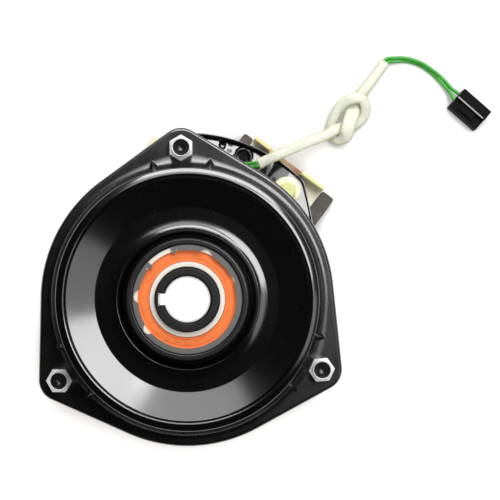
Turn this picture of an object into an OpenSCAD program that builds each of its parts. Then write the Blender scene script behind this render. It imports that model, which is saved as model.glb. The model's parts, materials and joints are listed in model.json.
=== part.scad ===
// Electric power take-off clutch and brake, lying on its back with the pulley up.
// Millimetres. Z is the crankshaft axis, z = 0 is the back face, +Y is the side of the first air-gap bolt.

/* [Standard interfaces] */
// Crankshaft bore diameter
bore_d = 25.4; // [19.05:0.05:28.6]
// Keyway width
key_w = 6.35; // [4.76:0.01:7.94]
// Keyway floor, measured from the bore centre
key_reach = 16; // [14:0.1:16.2]
// How far the hub nose stands out over its bearing
nose_h = 5; // [3:0.1:11]

/* [Pulley] */
// Outside diameter of the belt pulley
pulley_d = 146.6; // [140:0.2:148]
// Radius of the groove floor
groove_r = 52; // [50.5:0.5:54]
// Slope of the groove walls
groove_slope = 19.8; // [17:0.2:20]

/* [Brake plate] */
// Diameter of the round part of the brake plate
brake_d = 170.6; // [168:0.2:172]
// Radius of each lobe tip around its bolt
lobe_tip_r = 13; // [11:0.5:14]
// Bolt circle diameter
bolt_pcd = 174.8; // [174:0.2:176]
// Direction of the first bolt
bolt_a0 = 92.4; // [90:0.2:94]
// Steel thickness of the pressed plates
plate_t = 3; // [2.5:0.1:3.2]

/* [Field] */
// Reach of the field plate's upturned rim
plate_r = 100; // [98:0.5:108]
// Height of the rim over the back face
rim_top = 16; // [13:0.5:16.5]
// Direction of the torque bracket
bracket_a = 53.3; // [52:0.1:54]
// Height of the bracket's upstand
bracket_top = 18; // [17:0.5:22]

/* [Lead] */
// Woven sleeve diameter
sleeve_d = 4.5; // [4:0.1:4.6]
// Wire diameter over its insulation
wire_d = 2.1; // [1.8:0.1:2.2]

/* [Hidden] */
fn = 96;
bore_r = bore_d / 2;
pulley_r = pulley_d / 2;
bolt_r = bolt_pcd / 2;
bolt_as = [bolt_a0, bolt_a0 + 120, bolt_a0 + 240];

// Standard 35 x 62 x 14 ball bearing
race_in = 17.5;
race_out = 31;
race_w = 14;
ball_pitch_r = 24.25;
ball_r = 3.97;
ball_count = 10;

// Levels above the back face, from the back to the front
shell_back_t = 4;
plate_z = 8;
bracket_t = 2.5;
pole_z = 31;
rotor_t = 5;
armature_t = 5;
lining_t = 2;
leaf_t = 0.8;
rotor_z = pole_z + 1;
rotor_face_z = rotor_z + rotor_t;
armature_z = rotor_face_z + 0.5;
armature_top = armature_z + armature_t;
brake_z = rotor_face_z;
brake_ring_z = armature_top + 0.1 + lining_t;
flange_z = armature_top + 0.9 + leaf_t;
pulley_z = brake_ring_z + plate_t + 1.4;
front_bearing_z = pulley_z + 10;
housing_z = front_bearing_z + race_w + 2;
hub_h = front_bearing_z + race_w + nose_h;
nut_z = brake_z + plate_t;

// Radii
shell_r = 60;
shell_wall = 4;
pole_r = 35.5;
rotor_r = 65;
friction_in = 50;
friction_out = 56;
friction_t = 2.4;
armature_in = 36;
housing_r = 33.8;
rivet_r = 48;
nut_af = 13;
wall_r = bolt_r - nut_af / 2 / cos(30) - 3.3;
wall_in = wall_r - 2.8;
ring_in = wall_r - 15.6;
armature_r = wall_in - 1.8;
lining_in = wall_in - 10.8;
lining_out = wall_in - 2.8;

// Torque bracket, fork and bolt, placed from the rim they stand beside
rim_t = 2.7;
bracket_u = plate_r + 2.8;
flange_head_r = 8.3;
bracket_bolt_r = plate_r - rim_t - flange_head_r - 0.6;
bracket_bolt_a = 47.4;
eyelet_r = plate_r - 8;
eyelet_a = 68.6;
lead_a = 69;
lead_z = 16.5;

// Route of the woven sleeve: out of the bracket, an overhand knot pulled half tight, and on along the floor.
SLEEVE_POINTS = [[43, 81, 18], [54, 86, 20], [64, 90.5, 16], [74, 95.5, 9.5], [84, 99.5, 8],
  [89, 102.5, 7.8], [93, 104, 5.2], [97, 104.5, 3.2], [101, 106, 2.5], [105, 108.5, 2.8], [108, 112.5, 4],
  [108, 117.5, 6], [105, 121.5, 8], [100, 121.5, 8.5], [95.5, 119.5, 7.2], [91.5, 115.5, 5.2],
  [89, 110.5, 3.5], [87.5, 105.5, 2.5], [88, 100.5, 2.5], [91.5, 97, 4.5], [95.5, 98.5, 8],
  [97, 103.5, 9.3], [98.5, 108.5, 8], [100.5, 113.5, 5.3], [102, 118.5, 3], [105, 124, 2.5],
  [112, 133, 2.5], [120.5, 144.5, 2.5]];
// Routes of the wires: from the coil to the sleeve, and from the sleeve towards the connector.
NEAR_POINTS = [[19.5, 51, 16.5], [24, 62.5, 16.4], [28.5, 73, 15.9], [34, 79.5, 16.2]];
FAR_POINTS = [[126, 146, 2.2], [134, 146, 2], [142, 143.5, 2], [149, 139, 2], [154.5, 134, 2.2]];

function unit(v) = v / norm(v);
function tan_at(p, i) = unit(p[min(i + 1, len(p) - 1)] - p[max(i - 1, 0)]);
function side_at(p, i) = unit(cross(tan_at(p, i), [0, 0, 1]));
function ring_at(p, i, r, n) = let(s = side_at(p, i), u = cross(s, tan_at(p, i)))
  [for (k = [0:n - 1]) p[i] + r * (cos((k + 0.5) * 360 / n) * s + sin((k + 0.5) * 360 / n) * u)];

// A smooth curve through a list of points, with n steps between neighbours.
function smooth(p, n) = let(m = len(p), q = concat([2 * p[0] - p[1]], p, [2 * p[m - 1] - p[m - 2]])) concat(
  [for (i = [0:m - 2]) for (k = [0:n - 1]) let(t = k / n, a = q[i], b = q[i + 1], c = q[i + 2], d = q[i + 3])
    (2 * b + (c - a) * t + (2 * a - 5 * b + 4 * c - d) * t * t + (3 * b - a - 3 * c + d) * t * t * t) / 2],
  [p[m - 1]]);

// Points of an arc, for corners in a profile.
function arc(cx, cy, r, a0, a1, n = 5) = [for (i = [0:n]) let(a = a0 + (a1 - a0) * i / n) [cx + r * cos(a),
  cy + r * sin(a)]];

// A round cord along a list of points.
module cord(p, r, n = 8) {
  m = len(p);
  points = [for (i = [0:m - 1]) each ring_at(p, i, r, n)];
  sides = [for (i = [0:m - 2]) for (k = [0:n - 1]) each [
    [i * n + k, i * n + (k + 1) % n, (i + 1) * n + (k + 1) % n],
    [i * n + k, (i + 1) * n + (k + 1) % n, (i + 1) * n + k]]];
  caps = [[for (k = [n - 1:-1:0]) k], [for (k = [0:n - 1]) (m - 1) * n + k]];
  polyhedron(points, concat(sides, caps));
}

// A compression spring with closed ends, standing on z = 0.
module spring(mean_r, wire_r, h, turns) {
  steps = 14;
  m = round(turns * steps);
  closed = 0.14;
  end_rise = 2.15 * wire_r;
  free = h - 2 * wire_r - 2 * end_rise;
  cord([for (i = [0:m]) let( t = i / m, low = min(t, closed) / closed,
    mid = min(max((t - closed) / (1 - 2 * closed), 0), 1), high = max(t - 1 + closed,
    0) / closed) [mean_r * cos(i * 360 / steps), mean_r * sin(i * 360 / steps),
    wire_r + end_rise * (low + high) + free * mid]], wire_r, 6);
}

module rev(p) rotate_extrude($fn = fn) polygon(p);
module tube(r0, r1, z0, z1) rev([[r0, z0], [r1, z0], [r1, z1], [r0, z1]]);
module at(r, a, z = 0) rotate([0, 0, a]) translate([r, 0, z]) children();
module at_bolts(z = 0) for (a = bolt_as) at(bolt_r, a, z) children();
module rod(r, z0, z1) translate([0, 0, z0]) cylinder(r = r, h = z1 - z0, $fn = 32);
module bar(x0, x1, y0, y1, z0, z1) translate([x0, y0, z0]) cube([x1 - x0, y1 - y0, z1 - z0]);
module in_bracket() rotate([0, 0, bracket_a]) children();

// A hexagon head with its corners turned off at the top, or at both ends.
module hex(af, z0, z1, both = false) intersection() {
  translate([0, 0, z0]) cylinder(d = af / cos(30), h = z1 - z0, $fn = 6);
  corner = af / cos(30) / 2;
  cut = corner - af / 2 + 0.2;
  low = both ? cut / 2 : 0;
  rev([[0, z0], [corner - 2 * low + 0.01, z0], [corner + 0.01, z0 + low], [corner + 0.01, z1 - cut / 2],
    [corner - cut, z1], [0, z1]]);
}

// One lobe: straight sides from a circle of radius big to one of radius tip at the bolt circle. The sides
// start
// just inside both circles, so that they cross them cleanly.
module lobe2d(big, tip, a) {
  f = acos((big - tip) / bolt_r);
  inset = 0.12;
  b = big - inset;
  t = tip - inset / 2;
  rotate([0, 0, a]) {
    polygon([[0, 0], [b * cos(f), -b * sin(f)], [bolt_r + t * cos(f), -t * sin(f)],
      [bolt_r + t * cos(f), t * sin(f)], [b * cos(f), b * sin(f)]]);
    translate([bolt_r, 0]) circle(r = tip, $fn = 48);
  }
}
module lobed2d(big, tip) {
  circle(r = big, $fn = 120);
  for (a = bolt_as) lobe2d(big, tip, a);
}

module wedge2d(half, reach = 120) polygon([[0, 0], [reach * cos(half), -reach * sin(half)],
  [reach, 0], [reach * cos(half), reach * sin(half)]]);
module ring2d(r0, r1) difference() {
  circle(r = r1, $fn = fn);
  circle(r = r0, $fn = fn);
}
// Curved slots round the axis, as in a rotor or an armature.
module slots(r0, r1, half, turn, z0, z1) for (i = [0:5]) rotate([0, 0, i * 60 + turn])
  translate([0, 0, z0]) linear_extrude(z1 - z0) intersection() {
    ring2d(r0, r1);
    wedge2d(half);
  }

// Rotor: keyed hub, disc with flux slots, friction ring
module rotor_hub() color([0.12, 0.12, 0.13]) difference() {
  shoulder_r = 21;
  groove = [2.3, 3.9];
  edge = 0.6;
  rev([[bore_r, 0], [race_in - edge, 0], [race_in, edge], [race_in, groove[0]], [race_in - 0.8, groove[0]],
    [race_in - 0.8, groove[1]], [race_in, groove[1]], [race_in, shell_back_t + race_w],
    [shoulder_r - edge, shell_back_t + race_w], [shoulder_r, shell_back_t + race_w + edge],
    [shoulder_r, front_bearing_z - edge], [shoulder_r - edge, front_bearing_z], [race_in, front_bearing_z],
    [race_in, hub_h - 0.9], [race_in - 0.9, hub_h], [bore_r + 1.2, hub_h], [bore_r, hub_h - 1.2]]);
  bar(-key_reach, 0, -key_w / 2, key_w / 2, -1, hub_h + 1);
  // Round reliefs in the two corners of the keyway
  for (s = [-1, 1]) translate([0.25 - key_reach, s * (key_w / 2 - 0.1), 0]) rod(0.5, -1, hub_h + 1);
}

module rotor_disc() color([0.55, 0.55, 0.56]) difference() {
  skirt_z = pole_z - 8;
  skirt_in = shell_r + 0.5;
  rev([[21, rotor_z - 3], [25, rotor_z - 3], [27, rotor_z], [skirt_in, rotor_z], [skirt_in, skirt_z],
    [rotor_r, skirt_z], [rotor_r, rotor_face_z - 0.6], [rotor_r - 0.6, rotor_face_z],
    [friction_out, rotor_face_z], [friction_out, rotor_face_z - friction_t],
    [friction_in, rotor_face_z - friction_t], [friction_in, rotor_face_z], [21, rotor_face_z]]);
  slots(41, 45, 22, 10, rotor_z - 4, rotor_face_z + 1);
}

module rotor_friction_ring() color([0.3, 0.26, 0.22]) tube(friction_in, friction_out,
  rotor_face_z - friction_t, rotor_face_z);

// A retaining ring with one gap.
module clip(r0, r1, z0, z1, gap_a, gap) difference() {
  tube(r0, r1, z0, z1);
  rotate([0, 0, gap_a]) translate([0, 0, z0 - 1]) linear_extrude(z1 - z0 + 2) wedge2d(gap / 2);
}

module hub_circlip() color([0.2, 0.2, 0.21]) clip(race_in - 0.75, 20, 2.4, 3.8, 0, 30);

// Bearing pieces, standing on z = 0
module raceway() translate([0, 0, race_w / 2]) rotate_extrude($fn = fn) translate([ball_pitch_r, 0])
  circle(r = ball_r + 0.05, $fn = 32);
module at_balls() for (i = [0:ball_count - 1]) at(ball_pitch_r, i * 360 / ball_count, race_w / 2) children();
module inner_race() color([0.8, 0.8, 0.82]) difference() {
  edge = 0.9;
  rev([[race_in, edge], [race_in + edge, 0], [20.9, 0], [20.9, race_w], [race_in + edge, race_w],
    [race_in, race_w - edge]]);
  raceway();
}
module outer_race() color([0.8, 0.8, 0.82]) difference() {
  edge = 0.9;
  land = 27.4;
  seat = 27.8;
  rev([[land, 0], [race_out - edge, 0], [race_out, edge], [race_out, race_w - edge],
    [race_out - edge, race_w], [land, race_w], [land, 12.95], [seat, 12.95], [seat, 11.95], [land, 11.95],
    [land, 2.05], [seat, 2.05], [seat, 1.05], [land, 1.05]]);
  raceway();
}
module ball_set() color([0.9, 0.9, 0.9]) at_balls() sphere(r = ball_r, $fn = 24);
module ball_cage() color([0.7, 0.6, 0.35]) difference() {
  tube(23.2, 25.3, race_w / 2, 11.7);
  at_balls() sphere(r = ball_r + 0.15, $fn = 24);
}
// A moulded seal clipped into the outer race, with a shallow ring pressed into its face.
module seal_ring(z0) color([0.9, 0.42, 0.2]) rev([[21.15, z0], [27.35, z0], [27.35, z0 + 0.05],
  [27.75, z0 + 0.05], [27.75, z0 + 0.85], [27.35, z0 + 0.85], [27.35, z0 + 0.9], [25.6, z0 + 0.9],
  [25.3, z0 + 0.7], [23, z0 + 0.7], [22.7, z0 + 0.9], [21.15, z0 + 0.9]]);

module pulley_bearing_inner() translate([0, 0, front_bearing_z]) inner_race();
module pulley_bearing_outer() translate([0, 0, front_bearing_z]) outer_race();
module pulley_bearing_balls() translate([0, 0, front_bearing_z]) ball_set();
module pulley_bearing_cage() translate([0, 0, front_bearing_z]) ball_cage();
module front_seal() seal_ring(front_bearing_z + 12);
module rear_seal() seal_ring(front_bearing_z + 1.1);
module field_bearing_inner() translate([0, 0, shell_back_t]) inner_race();
module field_bearing_outer() translate([0, 0, shell_back_t]) outer_race();
module field_bearing_balls() translate([0, 0, shell_back_t]) ball_set();
module field_bearing_cage() translate([0, 0, shell_back_t]) ball_cage();
module field_seals() for (z = [1.1, 12]) seal_ring(shell_back_t + z);

// Pulley: two pressings that meet at the web, with the belt groove between them
web_z = pulley_z + 12.9;
crest_r = 38.5;
wall_rise = tan(groove_slope);
cone_r = 67.6;
module pulley_front() color([0.05, 0.05, 0.05]) {
  face_z = web_z + 2.6;
  top = face_z + (cone_r - groove_r) * wall_rise + 1.5;
  rev(concat([[crest_r - 1, web_z], [groove_r, web_z], [cone_r - 0.2,
    web_z + (cone_r - 0.2 - groove_r) * wall_rise], [pulley_r - 1, top - 3.8], [pulley_r, top - 3.2]],
    arc(pulley_r - 3.6, top - 2.8, 3.6, 8, 78, 6), [[cone_r + 2, top + 0.6], [cone_r + 1.2, top + 0.5],
    [cone_r + 0.5, top - 0.4], [cone_r, top - 1.5], [groove_r - 0.2, face_z], [crest_r + 6.5, face_z],
    [crest_r + 5, face_z + 0.15], [crest_r + 3.2, face_z + 0.65], [crest_r + 1.4, face_z + 1.5]],
    arc(crest_r - 0.1, face_z + 1.05, 0.9, 62, 180, 4)));
}
module pulley_rear() color([0.05, 0.05, 0.05]) {
  root_z = web_z - 3.4;
  lip_z = root_z - (pulley_r - 0.8 - groove_r) * wall_rise * 0.92;
  drum_r = crest_r + 1.5;
  rev([[housing_r, pulley_z + 1], [drum_r, pulley_z + 1], [drum_r, web_z - 2.6],
    [groove_r - 3.6, web_z - 2.6], [groove_r - 2.8, web_z - 3.3], [groove_r - 2.6, root_z - 2.3],
    [pulley_r - 1.9, lip_z - 2.2], [pulley_r - 0.7, lip_z - 2.4], [pulley_r, lip_z - 1.6],
    [pulley_r, lip_z - 0.5], [pulley_r - 0.9, lip_z], [groove_r + 0.6, root_z - 0.5], [groove_r, root_z],
    [groove_r, web_z], [crest_r - 1, web_z], [crest_r - 1, pulley_z + 3.6], [housing_r, pulley_z + 3.6]]);
}
module pulley_rivets() color([0.1, 0.1, 0.1]) for (i = [0:5]) at(crest_r + 6.5, i * 60 + 20)
  rod(2.2, web_z - 3.5, web_z - 2.6);

module bearing_housing() color([0.16, 0.16, 0.17]) difference() {
  flange_r = 57;
  flange_t = 3;
  edge = 0.6;
  groove = [front_bearing_z + race_w + 0.05, front_bearing_z + race_w + 1.3];
  rev([[race_out, flange_z], [flange_r - edge, flange_z], [flange_r, flange_z + edge],
    [flange_r, flange_z + flange_t - edge], [flange_r - edge, flange_z + flange_t],
    [housing_r, flange_z + flange_t], [housing_r, housing_z - edge], [housing_r - edge, housing_z],
    [race_out, housing_z], [race_out, groove[1]], [race_out + 1.2, groove[1]], [race_out + 1.2, groove[0]],
    [race_out, groove[0]], [race_out, front_bearing_z], [race_out - 2.4, front_bearing_z],
    [race_out - 2.4, front_bearing_z - 3], [race_out, front_bearing_z - 5]]);
  for (i = [0:2]) {
    at(rivet_r, i * 120 + 55) rod(5.2, flange_z - 1, flange_z + flange_t + 1);
    at(rivet_r, i * 120 + 5) rod(2.05, flange_z - 1, flange_z + flange_t + 1);
  }
}

// Internal retaining ring with two eared ends and a scalloped inner edge.
module housing_circlip() color([0.22, 0.22, 0.23]) {
  z0 = front_bearing_z + race_w + 0.15;
  z1 = z0 + 1.1;
  gap_a = 122;
  // Direction, radius and distance from the axis of each round scallop
  scallops = [[24, 2.3, 26.3], [67.2, 3.7, 26.1], [176.5, 3.7, 26.1], [217.1, 3, 26.8]];
  difference() {
    union() {
      clip(27.2, race_out + 1, z0, z1, gap_a, 28.5);
      for (s = [-1, 1]) at(27.4, gap_a + s * 16.2) rod(1.2, z0, z1);
    }
    for (s = [-1, 1]) at(27.6, gap_a + s * 20.4) rod(0.9, z0 - 1, z1 + 1);
    for (cut = scallops) at(cut[2], cut[0]) rod(cut[1], z0 - 1, z1 + 1);
  }
}

// A flat spring from one rivet to the next, with round ends and a hole in each.
module leaf(a0, a1, z0, z1) {
  p = rivet_r * [cos(a0), sin(a0)];
  q = rivet_r * [cos(a1), sin(a1)];
  l = norm(q - p);
  translate([p[0], p[1], z0]) rotate([0, 0, atan2(q[1] - p[1],
    q[0] - p[0])]) linear_extrude(z1 - z0) difference() {
    union() {
      translate([0, -4.2]) square([l, 8.4]);
      for (x = [0, l]) translate([x, 0]) circle(r = 4.2, $fn = 32);
    }
    for (x = [0, l]) translate([x, 0]) circle(r = 2.05, $fn = 32);
  }
}
module leaf_springs() color([0.5, 0.5, 0.52]) for (i = [0:2]) leaf(i * 120 + 5, i * 120 + 55,
  flange_z - leaf_t, flange_z);
module spring_rivets() color([0.7, 0.7, 0.7]) for (i = [0:2]) at(rivet_r, i * 120 + 5) {
  rod(2, flange_z - 1, flange_z + 3.4);
  rod(3.6, flange_z - 1.5, flange_z - leaf_t);
  rod(3.6, flange_z + 3, flange_z + 4.1);
}

// Armature
module armature_plate() color([0.45, 0.45, 0.46]) difference() {
  tube(armature_in, armature_r, armature_z, armature_top);
  slots(56, 59, 23, 30, armature_z - 1, armature_top + 1);
  for (i = [0:2]) at(rivet_r, i * 120 + 55) {
    rod(2.05, armature_z - 1, armature_top + 1);
    rod(3.4, armature_z - 1, armature_z + 1.6);
  }
}
module armature_rivets() color([0.7, 0.7, 0.7]) for (i = [0:2]) at(rivet_r, i * 120 + 55) {
  rod(2, armature_z + 0.4, flange_z + 0.5);
  rod(3.35, armature_z + 0.4, armature_z + 1.6);
  rod(3.4, armature_top, flange_z - leaf_t);
  rod(3.4, flange_z, flange_z + 1.1);
}

// Field: steel shell with the coil in it
module coil_shell() color([0.05, 0.05, 0.05]) difference() {
  edge = 1;
  groove = [shell_back_t + race_w + 0.1, shell_back_t + race_w + 1.7];
  rev([[race_out - 2, 0], [shell_r - edge, 0], [shell_r, edge], [shell_r, pole_z],
    [shell_r - shell_wall, pole_z], [shell_r - shell_wall, shell_back_t], [pole_r, shell_back_t],
    [pole_r, pole_z], [race_out, pole_z], [race_out, groove[1]], [race_out + 1.2, groove[1]],
    [race_out + 1.2, groove[0]], [race_out, groove[0]], [race_out, shell_back_t],
    [race_out - 2, shell_back_t]]);
  rotate([0, 0, lead_a]) translate([shell_r - 8, 0, lead_z]) rotate([0, 90, 0]) cylinder(r = 3.6, h = 12,
    $fn = 32);
}
bobbin_z = shell_back_t + 0.2;
bobbin_top = pole_z - 2;
bobbin_wall = 1.2;
module coil_bobbin() color([0.75, 0.72, 0.6]) {
  core = pole_r + 0.2;
  rim = shell_r - shell_wall - 0.3;
  tube_r = core + bobbin_wall;
  rev([[core, bobbin_z], [rim, bobbin_z], [rim, bobbin_z + bobbin_wall], [tube_r, bobbin_z + bobbin_wall],
    [tube_r, bobbin_top - bobbin_wall], [rim, bobbin_top - bobbin_wall], [rim, bobbin_top],
    [core, bobbin_top]]);
}
module coil_winding() color([0.7, 0.35, 0.15]) tube(pole_r + bobbin_wall + 0.25, shell_r - shell_wall - 1.6,
  bobbin_z + bobbin_wall + 0.1, bobbin_top - bobbin_wall - 0.1);
module coil_potting() color([0.1, 0.1, 0.1]) tube(pole_r + 0.05, shell_r - shell_wall - 0.05,
  bobbin_top + 0.05, pole_z - 0.4);
module field_circlip() color([0.2, 0.2, 0.21]) clip(28.4, race_out + 1.1, shell_back_t + race_w + 0.2,
  shell_back_t + race_w + 1.7, 250, 26);

// The part of the field plate that reaches out beside the bracket: an arc, a round corner and one straight
// side.
// A wall thickness gives the outline inside the rim.
module plate_lobe2d(wall) {
  side_a = 12.1;
  side_reach = plate_r - 16.5;
  end_a = 91.7;
  corner_r = 10;
  corner_a = side_a + acos((side_reach - corner_r) / (plate_r - corner_r));
  start = (side_reach - wall) * [cos(side_a), sin(side_a)] + 12 * [-sin(side_a), cos(side_a)];
  corner = (plate_r - corner_r) * [cos(corner_a), sin(corner_a)];
  polygon(concat([[0, 0], start], arc(corner[0], corner[1], corner_r - wall, side_a, corner_a, 7),
    arc(0, 0, plate_r - wall, corner_a + 3, end_a, 15)));
}
module field_plate() color([0.05, 0.05, 0.05]) difference() {
  hidden_r = 82;
  union() {
    translate([0, 0, plate_z]) linear_extrude(plate_t) difference() {
      union() {
        lobed2d(hidden_r, 11);
        plate_lobe2d(0);
      }
      circle(r = shell_r, $fn = fn);
    }
    // The upturned rim
    translate([0, 0, plate_z]) linear_extrude(rim_top - plate_z) difference() {
      plate_lobe2d(0);
      plate_lobe2d(rim_t);
      polygon([[-10, 0], [140, 0], [140, 42], [80, 42], [0, 90], [-10, 90]]);
    }
    at(eyelet_r, eyelet_a) rod(4.6, plate_z + 2, plate_z + plate_t + 1);
  }
  at_bolts() rod(4.2, 0, 20);
  at(eyelet_r, eyelet_a) rod(3.1, 0, 20);
  at(bracket_bolt_r, bracket_bolt_a) rod(3.2, 0, 20);
}

// In the bracket's own directions x runs outward and y to its left.
module torque_fork() color([0.36, 0.34, 0.32]) in_bracket() translate([0, 0, 2.6]) linear_extrude(2.9) {
  tip = bracket_u - 0.9;
  polygon([[62.5, -35.3], [tip - 1, -35.3], [tip, -34.3], [tip, -27.4], [tip - 1, -26.4], [72, -26.4],
    [72, 25.6], [tip - 1, 25.6], [tip, 26.6], [tip, 31.3], [tip - 1, 32.3], [62.5, 32.3]]);
}
// Bent from one sheet: a base under the field plate with a wing to the first bolt, and a notched upstand.
module torque_bracket() color([0.85, 0.8, 0.5]) {
  low = plate_z - bracket_t;
  ends = [-26.1, 25.2];
  notch = [-9.3, 13.8];
  bend = 3.4;
  x = bracket_u;
  difference() {
    in_bracket() {
      translate([0, 0, low]) linear_extrude(bracket_t) polygon([[66, ends[0]], [x - 6, ends[0]],
        [x - 6, ends[1]], [x - 12, ends[1]], [x - 15.9, 37.4], [x - 22.6, 54.8], [69.4, 61.7], [67.1, 75.9],
        [59.7, 75], [56.9, 64.3], [52.6, 46.7], [60.5, 32.6], [66, ends[1]]]);
      difference() {
        translate([0, ends[1], 0]) rotate([90, 0,
          0]) linear_extrude(ends[1] - ends[0]) polygon(concat( [[x - 7, low]],
          arc(x - bend, low + bend, bend, -90, 0), [[x, bracket_top - 0.5], [x - 0.5, bracket_top],
          [x - bracket_t + 0.6, bracket_top], [x - bracket_t + 0.1, bracket_top - 0.5]],
          arc(x - bend, low + bend, bend - bracket_t, 0, -90), [[x - 7, low + bracket_t]]));
        bar(x - 5, x + 1, notch[0], notch[1], 11, bracket_top + 1);
      }
    }
    at(bolt_r, bolt_a0) rod(4.2, 0, 20);
    at(bracket_bolt_r, bracket_bolt_a) rod(3.2, 0, 20);
  }
}
module bracket_bolt() color([0.85, 0.8, 0.4]) at(bracket_bolt_r, bracket_bolt_a) {
  seat = plate_z + plate_t;
  rod(3, 1, seat + 1);
  rev([[0, seat], [flange_head_r, seat], [flange_head_r, seat + 0.8], [6.2, seat + 1.6], [0, seat + 1.6]]);
  rotate([0, 0, 20]) hex(10, seat + 1, seat + 6);
}
module bracket_nut() color([0.8, 0.78, 0.6]) at(bracket_bolt_r, bracket_bolt_a) difference() {
  hex(10, 0.7, plate_z - bracket_t, true);
  rod(3, 0, 6);
}
module lead_grommet() color([0.08, 0.08, 0.08]) rotate([0, 0, lead_a]) translate([0, 0, lead_z]) rotate([0,
  90, 0]) difference() {
  union() {
    rod(3.55, shell_r - 3.8, shell_r + 0.5);
    rod(5, shell_r + 0.05, shell_r + 1.8);
  }
  rod(2.45, 50, 64);
}

// The three bolts that set the air gap
module air_gap_bolts() color([0.1, 0.1, 0.1]) at_bolts() {
  rotate([0, 0, 180]) hex(nut_af, 0.3, plate_z - bracket_t, true);
  rev([[0, 5], [3.95, 5], [3.95, nut_z + 6], [3.3, nut_z + 6.6], [0, nut_z + 6.6]]);
}
module bolt_spacers() color([0.75, 0.75, 0.76]) for (a = [bolt_as[1],
  bolt_as[2]]) at(bolt_r, a) difference() {
  rod(8, plate_z - bracket_t, plate_z);
  rod(4.2, 5, 9);
}
module air_gap_springs() color([0.6, 0.6, 0.62]) at_bolts(plate_z + plate_t) spring(6.1, 0.9,
  brake_z - 1.6 - plate_z - plate_t, 6.5);
module spring_washers() color([0.7, 0.7, 0.7]) at_bolts() difference() {
  rod(7.8, brake_z - 1.6, brake_z);
  rod(4.2, 30, 40);
}
module lock_nuts() color([0.85, 0.85, 0.86]) for (a = bolt_as) at(bolt_r, a) rotate([0, 0, -a]) difference() {
  union() {
    rotate([0, 0, a == bolt_a0 ? 30 : 0]) hex(nut_af, nut_z, nut_z + 6.4, true);
    rev([[0, nut_z + 6], [5.6, nut_z + 6], [5.6, nut_z + 7.6], [5.1, nut_z + 8.1], [0, nut_z + 8.1]]);
  }
  rod(3.95, nut_z - 1, nut_z + 6.3);
  rod(4.75, nut_z + 6.2, nut_z + 9);
}
module nut_inserts() color([0.2, 0.2, 0.22]) at_bolts() difference() {
  rod(4.75, nut_z + 6.2, nut_z + 7.9);
  rod(3.95, nut_z + 5, nut_z + 9);
}

// Brake plate: a lobed flange with a raised ring that carries the lining, turned as one profile inside the
// lobed outline
module brake_plate() color([0.06, 0.06, 0.06]) difference() {
  top = brake_ring_z + plate_t;
  flange_top = brake_z + plate_t;
  beyond = 120;
  intersection() {
    translate([0, 0, brake_z - 5]) linear_extrude(20) lobed2d(brake_d / 2, lobe_tip_r);
    rev(concat([[ring_in, brake_ring_z + 0.2], [ring_in + 0.6, brake_ring_z], [wall_in - 1.2, brake_ring_z],
      [wall_in, brake_ring_z - 1.2], [wall_in, brake_z + 1], [wall_in + 0.8, brake_z], [beyond, brake_z],
      [beyond, flange_top]], arc(wall_r + 2.2, flange_top + 2, 2, -90, -180, 4), arc(wall_r - 2.2, top - 2.4,
      2.4, 0, 90, 5), [[ring_in + 0.6, top], [ring_in, top - 0.2]]));
  }
  at_bolts() rod(4.25, brake_z - 5, brake_z + 15);
}
module at_lining_rivets() for (i = [0:8]) at((lining_in + lining_out) / 2, i * 40 + 12) children();
module brake_lining() color([0.3, 0.26, 0.22]) difference() {
  tube(lining_in, lining_out, brake_ring_z - lining_t, brake_ring_z);
  at_lining_rivets() rod(1.6, brake_ring_z - lining_t - 1, brake_ring_z + 1);
}
module lining_rivets() color([0.75, 0.6, 0.3]) at_lining_rivets() rod(1.55, brake_ring_z - 1.4, brake_ring_z);

// Lead: sleeve, wires and a two-way connector lying on the floor
SLEEVE = smooth(SLEEVE_POINTS, 2);
function side_shift(p, d) = [for (i = [0:len(p) - 1]) p[i] + d * side_at(p, i)];
NEAR = concat(NEAR_POINTS, [SLEEVE[0]]);
FAR = concat([SLEEVE[len(SLEEVE) - 1]], FAR_POINTS);
wire_gap = wire_d / 2 + 0.06;
plug_x = 171.2;
plug_y = 115.1;
plug_a = -41.2;
// The wires enter side by side in the connector's high half.
poles = [3.2, -1.6];
function in_plug(x, y, z) = [plug_x + x * cos(plug_a) - y * sin(plug_a),
  plug_y + x * sin(plug_a) + y * cos(plug_a), z];
module at_plug() translate([plug_x, plug_y, 0]) rotate([0, 0, plug_a]) children();

module lead_sleeve() color([0.88, 0.9, 0.8]) cord(SLEEVE, sleeve_d / 2);
module lead_wires_near() color([0.15, 0.55, 0.15]) for (s = [-1, 1]) cord(side_shift(NEAR, s * wire_gap),
  wire_d / 2);
module lead_wires_far() color([0.15, 0.55, 0.15]) for (i = [0, 1]) cord(concat(side_shift(FAR,
  (2 * i - 1) * wire_gap), [in_plug(-17, 3.3 - 2.3 * i, 3), in_plug(-10.4, poles[i] + 0.2 * i, 4.5),
  in_plug(-7, poles[i], 4.5)]), wire_d / 2);
module connector_housing() color([0.1, 0.1, 0.1]) at_plug() difference() {
  union() {
    bar(-10.75, 10.75, -7, 7, 0, 6.4);
    bar(-10.75, 10.75, 0, 7, 6, 9);
    bar(-6, 5, -4.5, 0.5, 6, 7.6);
  }
  for (y = poles) {
    translate([-11, y, 4.5]) rotate([0, 90, 0]) cylinder(r = 1.45, h = 6, $fn = 24);
    bar(-5.2, 11, y - 2.1, y + 2.1, 3, 5.8);
  }
}
module connector_terminals() color([0.8, 0.65, 0.3]) at_plug() for (y = poles) {
  bar(-4.8, 8, y - 1.6, y + 1.6, 3, 3.6);
  bar(-4.8, 0.5, y - 1.6, y + 1.6, 3.5, 5.2);
}

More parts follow.
